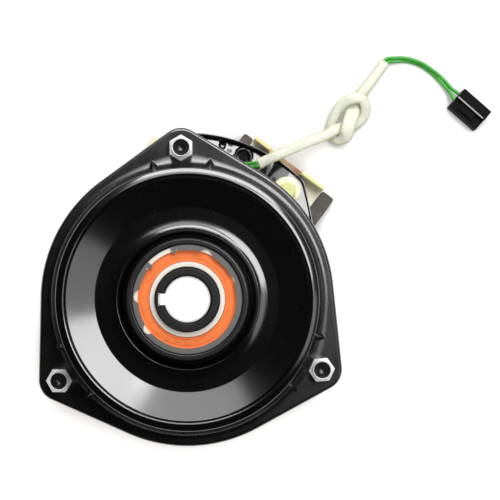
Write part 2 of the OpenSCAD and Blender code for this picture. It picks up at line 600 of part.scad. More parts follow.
rotor_hub();
rotor_disc();
rotor_friction_ring();
hub_circlip();
pulley_bearing_inner();
field_bearing_inner();
pulley_front();
pulley_rear();
pulley_rivets();
bearing_housing();
pulley_bearing_outer();
front_seal();
rear_seal();
housing_circlip();
leaf_springs();
spring_rivets();
armature_plate();
armature_rivets();
pulley_bearing_balls();
pulley_bearing_cage();
field_bearing_balls();
field_bearing_cage();
coil_shell();
coil_bobbin();
coil_winding();
coil_potting();
field_plate();
field_bearing_outer();
field_seals();
field_circlip();
torque_fork();
torque_bracket();
bracket_bolt();
bracket_nut();
lead_grommet();
air_gap_bolts();
bolt_spacers();
air_gap_springs();
spring_washers();
lock_nuts();
nut_inserts();
brake_plate();
brake_lining();
lining_rivets();
lead_sleeve();
lead_wires_near();
lead_wires_far();
connector_housing();
connector_terminals();
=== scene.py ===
"""Looks for the electric PTO clutch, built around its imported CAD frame."""

import json

import bmesh
import bpy
import numpy as np
from bpy.props import FloatProperty, FloatVectorProperty, PointerProperty
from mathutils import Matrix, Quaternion, Vector


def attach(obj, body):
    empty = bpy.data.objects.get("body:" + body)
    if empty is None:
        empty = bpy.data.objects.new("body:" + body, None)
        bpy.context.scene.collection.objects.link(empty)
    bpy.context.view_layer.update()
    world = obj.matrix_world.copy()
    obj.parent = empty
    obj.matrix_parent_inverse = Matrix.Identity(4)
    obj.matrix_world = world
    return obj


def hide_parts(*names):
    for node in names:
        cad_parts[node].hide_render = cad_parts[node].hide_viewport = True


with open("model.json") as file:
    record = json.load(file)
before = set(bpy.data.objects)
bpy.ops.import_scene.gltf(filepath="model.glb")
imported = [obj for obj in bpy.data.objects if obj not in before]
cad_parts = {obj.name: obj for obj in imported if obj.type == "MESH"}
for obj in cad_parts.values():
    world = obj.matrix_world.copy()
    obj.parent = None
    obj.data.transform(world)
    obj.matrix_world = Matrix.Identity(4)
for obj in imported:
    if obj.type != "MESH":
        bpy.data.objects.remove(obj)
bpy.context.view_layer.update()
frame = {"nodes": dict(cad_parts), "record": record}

bl_info = {
    "name": "PTO clutch looks",
    "version": (1, 0, 0),
    "blender": (4, 5, 0),
    "location": "View3D > Sidebar > Clutch",
    "description": "Dresses the clutch's CAD frame with its lead, finishes and studio",
    "category": "Object",
}

MM = 0.001
TAU = 2 * np.pi

# Levels, radii, places and directions of the CAD frame that the new pieces keep to, in millimetres.
BOLT_CIRCLE = 87.4
BOLT_TURNS = np.radians([92.4, 212.4, 332.4])
FRONT_BEARING_Z = 59.0
FIELD_BEARING_Z = 4.0
PLATE_Z = 8.0
BRAKE_Z = 37.0
BRAKE_RING_Z = 44.6
PLATE_THICKNESS = 3.0
NUT_Z = BRAKE_Z + PLATE_THICKNESS
WEB_Z = 61.9
GROOVE_FLOOR = 52.0
GROOVE_RISE = np.tan(np.radians(19.8))
CONE_TOP = 67.6
PULLEY_RIM = 73.3
BRAKE_RADIUS = 85.3
FIELD_RADIUS = 82.0
FIELD_INSIDE = 60.0
EYELET = (33.57, 85.66)
BRACKET_BOLT = (59.84, 65.07)
PLUG = (171.2, 115.1)
PLUG_TURN = np.radians(-41.2)
BRACKET_TURN = np.radians(53.3)

# Route of the woven sleeve and of the wires, in millimetres, the same points as in the CAD source.
SLEEVE_POINTS = [
    (43, 81, 18), (54, 86, 20), (64, 90.5, 16), (74, 95.5, 9.5), (84, 99.5, 8), (89, 102.5, 7.8),
    (93, 104, 5.2), (97, 104.5, 3.2), (101, 106, 2.5), (105, 108.5, 2.8), (108, 112.5, 4), (108, 117.5, 6),
    (105, 121.5, 8), (100, 121.5, 8.5), (95.5, 119.5, 7.2), (91.5, 115.5, 5.2), (89, 110.5, 3.5),
    (87.5, 105.5, 2.5), (88, 100.5, 2.5), (91.5, 97, 4.5), (95.5, 98.5, 8), (97, 103.5, 9.3),
    (98.5, 108.5, 8), (100.5, 113.5, 5.3), (102, 118.5, 3), (105, 124, 2.5), (112, 133, 2.5),
    (120.5, 144.5, 2.5),
]
# Width of the sleeve over its diameter at each of those points: it lies flattest where the knot folds it.
SLEEVE_WIDE = [
    1.4, 1.4, 1.45, 1.5, 1.5, 1.5, 1.55, 1.5, 1.4, 1.35, 1.35, 1.4, 1.5, 1.55, 1.45, 1.35, 1.3, 1.35, 1.35,
    1.5, 1.8, 1.9, 1.92, 1.92, 1.8, 1.5, 1.38, 1.4,
]
NEAR_POINTS = [(19.5, 51, 16.5), (24, 62.5, 16.4), (28.5, 73, 15.9), (34, 79.5, 16.2)]
FAR_POINTS = [(126, 146, 2.2), (134, 146, 2), (142, 143.5, 2), (149, 139, 2), (154.5, 134, 2.2)]
# Last points of each wire, along and across the connector and above the floor.
PLUG_POINTS = [
    [(-17, 3.3, 3), (-10.4, 3.2, 4.5), (-7, 3.2, 4.5)],
    [(-17, 1.0, 3), (-10.4, -1.4, 4.5), (-7, -1.6, 4.5)],
]


# Sizes and colours that a user would change


def length_setting(name, description, default, low, high):
    return FloatProperty(
        name=name, description=description, unit="LENGTH", default=default, min=low, max=high
    )


def colour_setting(name, description, default):
    return FloatVectorProperty(
        name=name, description=description, subtype="COLOR", size=3, default=default, min=0, max=1
    )


class ClutchLead(bpy.types.PropertyGroup):
    sleeve_diameter: length_setting("Sleeve diameter", "Outside of the woven sleeve", 0.0045, 0.003, 0.005)
    wire_diameter: length_setting("Wire diameter", "Outside of each insulation", 0.0021, 0.0015, 0.0025)
    sleeve_colour: colour_setting("Sleeve", "Varnished glass braid", (0.82, 0.83, 0.7))
    wire_colour: colour_setting("Wires", "Insulation", (0.035, 0.4, 0.02))


class ClutchFinish(bpy.types.PropertyGroup):
    paint: colour_setting("Black paint", "Baked paint on the pressed parts", (0.0024, 0.0021, 0.0023))
    zinc_yellow: colour_setting("Yellow zinc", "Passivated zinc plate", (0.99, 0.97, 0.78))
    seal: colour_setting("Bearing seal", "Moulded seal", (0.95, 0.21, 0.04))


class ClutchStudio(bpy.types.PropertyGroup):
    camera_height: length_setting("Camera height", "Camera over the back face", 0.775, 0.4, 2)
    lens: FloatProperty(name="Lens", description="Focal length", unit="CAMERA", default=91.3, min=30, max=200)
    key: FloatProperty(name="Key light", description="Radiance of main softbox", default=5.6, min=0, max=20)


# Shapes


def rounded(corners, radius, steps=4):
    """Closed outline whose corners are parabolas: each runs from the point at the given distance before the
    corner, bent towards the corner, to the point at that distance after it."""
    p = np.asarray(corners, float)
    back = np.roll(p, 1, axis=0) - p
    ahead = np.roll(p, -1, axis=0) - p
    length_back = np.linalg.norm(back, axis=1)
    length_ahead = np.linalg.norm(ahead, axis=1)
    reach = np.minimum(np.broadcast_to(radius, len(p)), 0.45 * np.minimum(length_back, length_ahead))
    start = p + back * (reach / length_back)[:, None]
    end = p + ahead * (reach / length_ahead)[:, None]
    t = np.linspace(0, 1, steps + 1)[:, None, None]
    curve = (1 - t) ** 2 * start + 2 * t * (1 - t) * p + t**2 * end
    return curve.transpose(1, 0, 2).reshape(-1, 2)


def full_turn(steps):
    """Directions of that many even steps round a full turn."""
    return np.arange(steps) / steps * TAU


def about_axis(a, r, z, centre=(0, 0)):
    """Points at radius r and height z in each direction a round an upright axis: x = r cos a, y = r sin a."""
    r = np.broadcast_to(r, (len(a), np.shape(r)[-1]))
    x = centre[0] + r * np.cos(a)[:, None]
    y = centre[1] + r * np.sin(a)[:, None]
    return np.stack([x, y, np.broadcast_to(z, r.shape)], axis=-1)


def closed_ring(profile, bend, corner_steps, steps=192, centre=(0, 0), base=0.0):
    """Profile of (radius, height) with rounded corners, lifted to its base and carried round an upright axis.
    Its grid closes both ways."""
    r, z = (rounded(profile, bend, corner_steps) + (0, base)).T
    return about_axis(full_turn(steps), r, z, centre), True, True


def smooth_route(points, steps):
    """Catmull-Rom curve through the points, each stretch a cubic whose slope at a point is half the way
    between its two neighbours."""
    p = np.asarray(points, float)
    q = np.vstack([2 * p[0] - p[1], p, 2 * p[-1] - p[-2]])
    a, b, c, d = (q[i : len(q) - 3 + i, None] for i in range(4))
    t = (np.arange(steps) / steps)[None, :, None]
    curve = (2 * b + (c - a) * t + (2 * a - 5 * b + 4 * c - d) * t**2 + (3 * b - a - 3 * c + d) * t**3) / 2
    return np.vstack([curve.reshape(-1, 3), p[-1]])


def directions(route):
    """Unit vectors at each point of a route: along it, level to its side, and square to both."""
    along = np.gradient(route, axis=0)
    along /= np.linalg.norm(along, axis=1)[:, None]
    side = np.cross(along, (0, 0, 1))
    side /= np.linalg.norm(side, axis=1)[:, None]
    return along, side, np.cross(side, along)


def travelled(route):
    """Length of the route up to each of its points."""
    return np.concatenate([[0], np.cumsum(np.linalg.norm(np.diff(route, axis=0), axis=1))])


def carry(route, radius, sides, wide=1.0, tall=1.0):
    """Tube along a route: centre + radius (wide cos a side + tall sin a up), with radius a number, one per
    point or one per point and side, and wide and tall numbers or one per point. Both ends close to a pole."""
    along, side, up = directions(route)
    a = full_turn(sides)
    r = np.broadcast_to(radius if np.ndim(radius) != 1 else np.asarray(radius)[:, None], (len(route), sides))
    wide, tall = (np.broadcast_to(value, len(route))[:, None, None] for value in (wide, tall))
    ring = wide * np.cos(a)[None, :, None] * side[:, None] + tall * np.sin(a)[None, :, None] * up[:, None]
    tube = route[:, None] + r[..., None] * ring
    first = np.repeat(route[:1, None], sides, axis=1)
    last = np.repeat(route[-1:, None], sides, axis=1)
    return np.concatenate([first, tube, last])


def hexagon(across, a):
    """Distance from the centre to the side of a hexagon in direction a: half the width over the cosine of the
    angle to the nearest flat's middle."""
    return across / 2 / np.cos((a + TAU / 12) % (TAU / 6) - TAU / 12)


def hex_ring(centre, across, bore, low, high, turn=0.0, steps=96):
    """Nut or bolt head round a bore: at each height the hexagon's radius, or less at the chamfers."""
    a = full_turn(steps)
    corner = across / 2 / np.cos(TAU / 12)
    flat = across / 2 - 0.8
    chamfer = 1.1
    mouth = 0.45
    depth = np.concatenate([np.linspace(0, 1, 7) * chamfer, [1.6]])
    z = np.concatenate([low + depth, high - depth[::-1]])
    slope = np.minimum(np.concatenate([depth, depth[::-1]]) / chamfer, 1) ** 1.1
    cone = flat + (corner - flat + 0.4) * slope
    r = np.minimum(hexagon(across, a - turn)[:, None], cone[None])
    inside = np.broadcast_to([bore, bore + mouth, bore + mouth, bore], (steps, 4))
    r = np.hstack([inside[:, :2], r, inside[:, 2:]])
    z = np.concatenate([[low + mouth, low], z, [high, high - mouth]])
    return about_axis(a, r, z, centre), True, True


def off_bolt(a):
    """Angle between direction a and the nearest air-gap bolt."""
    return np.abs((a[:, None] - BOLT_TURNS + np.pi) % TAU - np.pi).min(axis=1)


def lobed_outline(a, big, tip):
    """Plate outline in direction a: a round plate, and at each bolt a tip circle joined to it by tangents."""
    lean = np.arccos((big - tip) / BOLT_CIRCLE)
    touch = np.arctan2(tip * np.sin(lean), BOLT_CIRCLE + tip * np.cos(lean))
    away = off_bolt(a)
    on_tip = BOLT_CIRCLE * np.cos(away) + np.sqrt(np.maximum(tip**2 - (BOLT_CIRCLE * np.sin(away)) ** 2, 0))
    on_side = big / np.cos(away - lean)
    return np.where(away < touch, on_tip, np.where(away < lean, on_side, big))


def soft_step(x, low, high):
    """0 below low, 1 above high, and a smooth S of 3t^2 - 2t^3 between them."""
    t = np.clip((x - low) / (high - low), 0, 1)
    return t * t * (3 - 2 * t)


# Meshes


def put(name, data):
    """New object in the scene, at the origin."""
    thing = bpy.data.objects.new(name, data)
    bpy.context.scene.collection.objects.link(thing)
    return thing


def grid_faces(rows, columns, wrap_rows, wrap_columns):
    """Corner numbers of each square of a grid of points, and the same corners before they wrap round."""
    across = np.arange(rows if wrap_rows else rows - 1)
    down = np.arange(columns if wrap_columns else columns - 1)
    u, v = np.meshgrid(across, down, indexing="ij")
    corners = np.stack([(u, v), (u + 1, v), (u + 1, v + 1), (u, v + 1)])
    place = (corners[:, 0] % rows) * columns + corners[:, 1] % columns
    return place.transpose(1, 2, 0).reshape(-1, 4), corners.transpose(2, 3, 0, 1).reshape(-1, 2)


def outward(points, faces):
    """Faces turned so that the volume they enclose, the sum of corner a . (b x c) / 6, is positive."""
    a, b, c, d = (points[faces[:, i]] for i in range(4))
    volume = np.einsum("ij,ij", a, np.cross(b, c)) + np.einsum("ij,ij", a, np.cross(c, d))
    return faces if volume > 0 else faces[:, ::-1]


def make_piece(name, body, slot, grids, replaces=(), uv_scale=None, crease=32.0):
    """One object of several grids, each (points, whether its rows close, whether its columns close)."""
    points, faces, uvs, count = [], [], [], 0
    for grid, wrap_rows, wrap_columns in grids:
        rows, columns = grid.shape[:2]
        flat = grid.reshape(-1, 3)
        quads, steps = grid_faces(rows, columns, wrap_rows, wrap_columns)
        turned = outward(flat, quads)
        steps = steps.reshape(-1, 4, 2)
        uvs.append((steps if turned is quads else steps[:, ::-1]).reshape(-1, 2))
        points.append(flat)
        faces.append(turned + count)
        count += len(flat)
    points = np.concatenate(points) * MM
    faces = np.concatenate(faces)
    mesh = bpy.data.meshes.new(name)
    mesh.vertices.add(len(points))
    mesh.vertices.foreach_set("co", points.ravel())
    mesh.loops.add(faces.size)
    mesh.loops.foreach_set("vertex_index", faces.ravel().astype(np.int32))
    mesh.polygons.add(len(faces))
    mesh.polygons.foreach_set("loop_start", np.arange(0, faces.size, 4, dtype=np.int32))
    mesh.update(calc_edges=True)
    if uv_scale is not None:
        layer = mesh.uv_layers.new(name="along")
        layer.data.foreach_set("uv", (np.concatenate(uvs) * uv_scale).astype(np.float32).ravel())
    work = bmesh.new()
    work.from_mesh(mesh)
    bmesh.ops.remove_doubles(work, verts=work.verts, dist=1e-7)
    bmesh.ops.dissolve_degenerate(work, edges=work.edges, dist=1e-8)
    work.to_mesh(mesh)
    work.free()
    mesh.shade_smooth()
    mesh.set_sharp_from_angle(angle=np.radians(crease))
    piece = put(name, mesh)
    mesh.materials.append(finish_of(slot))
    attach(piece, body)
    if replaces:
        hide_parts(*replaces)
    return piece


# Shader effects shared by the finishes


class Wiring:
    """Adds nodes to a tree and joins them, so that a finish reads as a list of steps."""

    def __init__(self, tree):
        self.tree = tree

    def add(self, kind, inputs=None, **settings):
        node = self.tree.nodes.new(kind)
        for key, value in settings.items():
            setattr(node, key, value)
        for key, value in (inputs or {}).items():
            if isinstance(value, bpy.types.NodeSocket):
                self.tree.links.new(value, node.inputs[key])
            else:
                node.inputs[key].default_value = value
        return node

    def maths(self, operation, a, b=0.0, clamp=False):
        return self.add("ShaderNodeMath", {0: a, 1: b}, operation=operation, use_clamp=clamp).outputs[0]

    def times(self, a, b):
        return self.maths("MULTIPLY", a, b)

    def plus(self, a, b):
        return self.maths("ADD", a, b)

    def minus(self, a, b):
        return self.maths("SUBTRACT", a, b)

    def spread(self, value, low, high, to_low=0.0, to_high=1.0):
        """Maps a value from one range to another and stops at its ends."""
        inputs = {"Value": value, "From Min": low, "From Max": high, "To Min": to_low, "To Max": to_high}
        return self.add("ShaderNodeMapRange", inputs).outputs[0]

    def mix(self, factor, a, b):
        return self.add("ShaderNodeMix", {0: factor, 6: a, 7: b}, data_type="RGBA").outputs[2]

    def noise(self, vector, scale, detail=2.0, roughness=0.5):
        inputs = {"Vector": vector, "Scale": scale, "Detail": detail, "Roughness": roughness}
        return self.add("ShaderNodeTexNoise", inputs).outputs[0]

    def near(self, value, middle, outside, inside):
        """1 up to the inside distance from a middle value, falling to 0 at the outside distance."""
        return self.spread(self.maths("ABSOLUTE", self.minus(value, middle)), outside, inside)

    def place(self):
        return self.add("ShaderNodeTexCoord").outputs["Object"]

    def axes(self, vector=None):
        """The three numbers of a vector, or of the place on the object where none is given."""
        vector = self.place() if vector is None else vector
        return self.add("ShaderNodeSeparateXYZ", {0: vector}).outputs

    def around(self):
        """Place along and round a swept piece, from its own map."""
        return self.axes(self.add("ShaderNodeUVMap", uv_map="along").outputs[0])

    def wave(self, kind, value):
        """Size of the sine or cosine of a value."""
        return self.maths("ABSOLUTE", self.maths(kind, value))

    def reach_squared(self, axes):
        """Square of the distance from the clutch's axis."""
        return self.plus(self.maths("POWER", axes[0], 2.0), self.maths("POWER", axes[1], 2.0))

    def reach(self, axes):
        return self.maths("SQRT", self.reach_squared(axes))

    def across(self, east, north, turn):
        """Distance to the left of a line through the centre in the direction of the turn."""
        return self.minus(self.times(north, np.cos(turn)), self.times(east, np.sin(turn)))

    def effect(self, name, **values):
        """Masks of a shared effect, whose node group takes named numbers and is built once."""
        steps, inputs, outputs = EFFECTS[name]
        if name not in bpy.data.node_groups:
            group = bpy.data.node_groups.new(name, "ShaderNodeTree")
            for key, value in inputs.items():
                socket = group.interface.new_socket(key, in_out="INPUT", socket_type="NodeSocketFloat")
                socket.default_value = value
            for key in outputs:
                group.interface.new_socket(key, in_out="OUTPUT", socket_type="NodeSocketFloat")
            inner = Wiring(group)
            made = steps(inner, inner.add("NodeGroupInput").outputs)
            inner.add("NodeGroupOutput", dict(zip(outputs, made)))
        return self.add("ShaderNodeGroup", values, node_tree=bpy.data.node_groups[name]).outputs


def emptied(block):
    """Wiring of a material or world whose own nodes are cleared."""
    block.use_nodes = True
    block.node_tree.nodes.clear()
    return Wiring(block.node_tree)


def turning(w, given):
    """Marks of a lathe tool: noise that depends only on radius plus height."""
    axes = w.axes()
    marks = {"W": w.plus(w.reach(axes), axes[2]), "Scale": given["Lines"], "Detail": 3.0}
    line = w.add("ShaderNodeTexNoise", marks, noise_dimensions="1D").outputs[0]
    return line, w.spread(w.plus(line, w.noise(w.place(), 90.0, 3.0)), 0.6, 1.4)


def skin(w, given):
    """Sprayed paint: a shallow orange peel, a fine roughness cloud and a few settled specks."""
    place = w.place()
    speck = w.add("ShaderNodeTexVoronoi", {"Vector": place, "Scale": given["Specks"]}).outputs["Distance"]
    rare = w.spread(w.noise(place, 240.0, 1.0), 0.58, 0.66)
    dust = w.times(w.spread(speck, 0.13, 0.05), rare)
    return w.noise(place, given["Peel"], 2.0), w.noise(place, 60.0, 4.0, 0.6), dust


def mottle(w, given):
    """Clouds of a plated or cast surface at two sizes."""
    place = w.place()
    cloud = w.spread(w.noise(place, given["Size"], 3.0, 0.6), 0.35, 0.65)
    return cloud, w.noise(place, w.times(given["Size"], 7.0), 3.0)


def braid(w, given):
    """Two families of strands wound opposite ways: the higher of two cosine ridges, and thin fibres. Its
    second mask, low between the ridges, carries the painted shade of the gaps.
    """
    axes = w.around()
    turn = w.times(axes[1], given["Strands"])
    run = w.times(axes[0], given["Pitch"])
    right = w.plus(turn, run)
    left = w.minus(turn, run)
    ridge = w.maths("MAXIMUM", *(w.wave("COSINE", w.times(family, np.pi)) for family in (right, left)))
    fibre = w.wave("SINE", w.times(right, np.pi * 5))
    return w.plus(ridge, w.times(fibre, 0.2)), w.spread(ridge, 0.95, 0.7)


EFFECTS = {
    "Turning marks": (turning, {"Lines": 2500.0}, ("Height", "Streak")),
    "Sprayed skin": (skin, {"Peel": 900.0, "Specks": 700.0}, ("Height", "Cloud", "Dust")),
    "Plate mottle": (mottle, {"Size": 120.0}, ("Cloud", "Fine")),
    "Woven braid": (braid, {"Strands": 10.0, "Pitch": 640.0}, ("Height", "Gap shade")),
}


# Finishes


def colour(rgb):
    return (*rgb, 1.0)


def shade(rgb, factor):
    return tuple(min(1.0, c * factor) for c in rgb) + (1.0,)


class Finish(Wiring):
    """Material with one Principled shader, whose constant sockets are set on it."""

    def __init__(self, name, **sockets):
        self.material = bpy.data.materials.new("finish_" + name)
        self.material.use_nodes = True
        super().__init__(self.material.node_tree)
        self.shader = self.tree.nodes["Principled BSDF"]
        for key, value in sockets.items():
            self.shader.inputs[key.replace("_", " ")].default_value = value

    def done(self, tint, rough, height, depth):
        """The material with its colour, its roughness unless that is constant, and a bump whose height of 0
        to 1 stands for a depth in metres."""
        values = {"Height": height, "Distance": depth, "Strength": 1.0}
        bump = self.add("ShaderNodeBump", values).outputs[0]
        for socket, value in (("Base Color", tint), ("Roughness", rough), ("Normal", bump)):
            if value is not None:
                self.tree.links.new(value, self.shader.inputs[socket])
        return self.material


def painted(name):
    """Baked black paint with slight orange peel and sparse dust: satin at the heights of the brake plate, and
    glossy above and below it."""
    w = Finish(name, IOR=2.1)
    parts = w.effect("Sprayed skin")
    paint = colour(bpy.context.scene.clutch_finish.paint)
    tint = w.mix(w.times(parts["Dust"], 0.35), paint, (0.35, 0.33, 0.3, 1))
    height = w.axes()[2]
    satin = w.times(w.spread(height, 0.0478, 0.0482, 1.0, 0.0), w.spread(height, 0.018, 0.02))
    grade = w.spread(satin, 0.0, 1.0, 0.15, 0.27)
    rough = w.times(grade, w.spread(parts["Cloud"], 0.3, 0.7, 0.9, 1.1))
    return w.done(tint, rough, parts["Height"], 0.000004)


def metal(name, rgb, rough, lines, depth, metallic, dark, face=None, ior=1.5):
    """Turned metal: colour and roughness follow the tool marks. Where a face is given, as its two radii, the
    rounded corners beyond it get painted shade, near black, for the shadow in the grooves and gaps beside
    them."""
    w = Finish(name, Metallic=metallic, IOR=ior)
    parts = w.effect("Turning marks", Lines=lines)
    tint = w.mix(parts["Streak"], shade(rgb, dark), colour(rgb))
    if face:
        reach = w.reach(w.axes())
        inner, outer = face
        face_mask_for_painted_shade = w.times(w.spread(reach, inner - 0.0002, inner), w.spread(reach, outer + 0.0003, outer))
        # Painted shade: off the face, the colour turns near black.
        tint = w.mix(face_mask_for_painted_shade, shade(rgb, 0.012), tint)
    rough = w.spread(parts["Streak"], 0.0, 1.0, rough * 1.2, rough * 0.85)
    return w.done(tint, rough, parts["Height"], depth)


def grained(name, tints, rough, size, depth, **sockets):
    """Two tints in soft clouds over a finer grain that also varies the roughness."""
    w = Finish(name, **sockets)
    parts = w.effect("Plate mottle", Size=size)
    tint = w.mix(parts["Cloud"], *tints)
    return w.done(tint, w.spread(parts["Fine"], 0.3, 0.7, *rough), parts["Fine"], depth)


def plated(name, rgb, other, rough, size=120.0, metallic=1.0):
    """Plated steel in two tints."""
    tints = (colour(rgb), colour(other))
    return grained(name, tints, (rough * 0.8, rough * 1.25), size, 0.000006, Metallic=metallic)


def moulded(name, rgb, rough, size=400.0, depth=0.00001, vary=0.8, **sockets):
    """Moulded rubber or plastic, its colour lightly clouded."""
    tints = (shade(rgb, vary), colour(rgb))
    return grained(name, tints, (rough * 0.9, rough * 1.1), size, depth, **sockets)


def passivated(name):
    """Yellow zinc: pale below its top edge, gold and green along the top edge, brown at the notch."""
    w = Finish(name, Metallic=0.1)
    parts = w.effect("Plate mottle", Size=70.0)
    axes = w.axes()
    along = w.across(axes[0], axes[1], BRACKET_TURN)
    pale = w.mix(parts["Cloud"], colour(bpy.context.scene.clutch_finish.zinc_yellow), (0.95, 0.93, 0.58, 1))
    edge = w.mix(w.spread(along, 0.005, -0.012), (0.88, 0.76, 0.36, 1), (0.8, 0.84, 0.38, 1))
    brown = w.mix(w.spread(along, 0.006, -0.006), (0.85, 0.6, 0.26, 1), (0.38, 0.15, 0.09, 1))
    tint = w.mix(w.spread(axes[2], 0.0158, 0.0174), pale, edge)
    notch = w.times(w.near(along, 0.0022, 0.0128, 0.0108), w.spread(w.reach_squared(axes), 0.0094, 0.0098))
    rough = w.spread(parts["Fine"], 0.3, 0.7, 0.3, 0.46)
    return w.done(w.mix(notch, tint, brown), rough, parts["Fine"], 0.000006)


def housed(name):
    """Matt black connector with a painted highlight: a pale line along the ridge of its step, where the edge
    catches the light.
    """
    w = Finish(name, Roughness=0.5, Specular_IOR_Level=0.07)
    parts = w.effect("Plate mottle", Size=900.0)
    axes = w.axes()
    east = w.minus(axes[0], PLUG[0] * MM)
    north = w.minus(axes[1], PLUG[1] * MM)
    # Painted highlight: a pale line along the ridge of the step, where its edge catches the light.
    line = w.near(w.across(east, north, PLUG_TURN), 0.0006, 0.0005, 0.0003)
    length = w.near(w.across(east, north, PLUG_TURN - TAU / 4), -0.0006, 0.0101, 0.0095)
    ridge = w.times(w.times(line, length), w.spread(axes[2], 0.0084, 0.0088))
    black = w.mix(parts["Cloud"], (0.0035, 0.0035, 0.0035, 1), (0.006, 0.006, 0.0055, 1))
    return w.done(w.mix(ridge, black, (0.42, 0.4, 0.4, 1)), None, parts["Fine"], 0.000012)


def braided(name):
    """Varnished glass braid: pale strands, darker painted shade in the gaps between them, and yellow-green
    painted shade where it turns away to the sides and underneath.
    """
    thread = bpy.context.scene.clutch_lead.sleeve_colour
    w = Finish(name, Roughness=0.45, Sheen_Weight=0.2, Coat_Weight=0.25, Coat_Roughness=0.3)
    parts = w.effect("Woven braid")
    pale = w.mix(w.effect("Plate mottle", Size=150.0)["Cloud"], shade(thread, 0.93), shade(thread, 1.06))
    # Painted shade: the sides and underside of the sleeve, facing away from the top, turn yellow-green.
    facing_up_for_painted_shade = w.maths("SINE", w.times(w.around()[1], TAU))
    pale = w.mix(w.spread(facing_up_for_painted_shade, 0.8, 0.1), pale, (0.55, 0.6, 0.26, 1))
    # Painted shade: the gaps between the strands darken towards 0.6 of the thread colour.
    tint = w.mix(w.times(parts["Gap shade"], 0.25), pale, shade(thread, 0.6))
    return w.done(tint, None, parts["Height"], 0.00006)


def wound(name, rgb):
    """Enamelled winding: round turns of wire stacked along the axis, with painted shade between the turns."""
    w = Finish(name, Metallic=1.0)
    ridge = w.wave("SINE", w.times(w.axes()[2], np.pi / 0.0006))
    # Painted shade: the colour darkens to 0.35 between the turns.
    tint = w.mix(ridge, shade(rgb, 0.35), colour(rgb))
    return w.done(tint, w.spread(ridge, 0.0, 1.0, 0.5, 0.25), ridge, 0.0001)


def green_wire(name):
    """Extruded green insulation with a soft shine."""
    rgb = bpy.context.scene.clutch_lead.wire_colour
    return moulded(name, rgb, 0.28, 200.0, 0.000008, 0.85, Coat_Weight=0.4, Coat_Roughness=0.15)


def bearing_seal(name):
    """Moulded rubber of the bearing seals."""
    return moulded(name, bpy.context.scene.clutch_finish.seal, 0.6, 260.0, 0.00002, 0.88)


FINISHES = {
    "black_paint": (painted,),
    "black_oxide": (metal, (0.024, 0.023, 0.024), 0.27, 1800.0, 0.000003, 0.2, 0.6, None, 1.9),
    # phosphate and bearing_steel: painted shade, near black beyond their face radii.
    "phosphate": (metal, (0.165, 0.162, 0.156), 0.5, 3500.0, 0.000003, 0.3, 0.9, (0.02, 0.03)),
    "bearing_steel": (metal, (0.97, 0.91, 0.82), 0.45, 3500.0, 0.000003, 0.2, 0.9, (0.0184, 0.0298)),
    "machined_steel": (metal, (0.5, 0.5, 0.51), 0.34, 1500.0, 0.000006, 1.0, 0.8),
    "ball_steel": (plated, (0.85, 0.86, 0.88), (0.8, 0.81, 0.82), 0.08, 300.0),
    "zinc_bright": (plated, (0.97, 0.97, 0.95), (0.88, 0.88, 0.87), 0.34, 220.0, 0.2),
    "zinc_yellow": (passivated,),
    "fork_steel": (plated, (0.13, 0.115, 0.1), (0.075, 0.066, 0.056), 0.5, 150.0, 0.3),
    "spring_steel": (plated, (0.42, 0.42, 0.44), (0.3, 0.3, 0.32), 0.35, 200.0),
    "terminal": (plated, (0.75, 0.55, 0.22), (0.62, 0.45, 0.18), 0.3, 200.0),
    "seal_rubber": (bearing_seal,),
    "friction": (moulded, (0.13, 0.1, 0.085), 0.85, 500.0, 0.00006, 0.5),
    "bobbin": (moulded, (0.6, 0.54, 0.38), 0.5, 300.0),
    "potting": (moulded, (0.01, 0.01, 0.011), 0.3, 80.0, 0.00004),
    "grommet_rubber": (moulded, (0.012, 0.012, 0.012), 0.6),
    "nylon": (moulded, (0.012, 0.012, 0.014), 0.4),
    "cage": (moulded, (0.5, 0.36, 0.1), 0.45),
    "copper": (wound, (0.7, 0.25, 0.08)),
    "sleeve": (braided,),
    "wire_green": (green_wire,),
    "connector": (housed,),
}

MADE = {}


def finish_of(slot):
    """The finish of a material slot, made the first time it is asked for."""
    if slot not in MADE:
        maker, *values = FINISHES[slot]
        MADE[slot] = maker(slot, *values)
    return MADE[slot]


# Operators


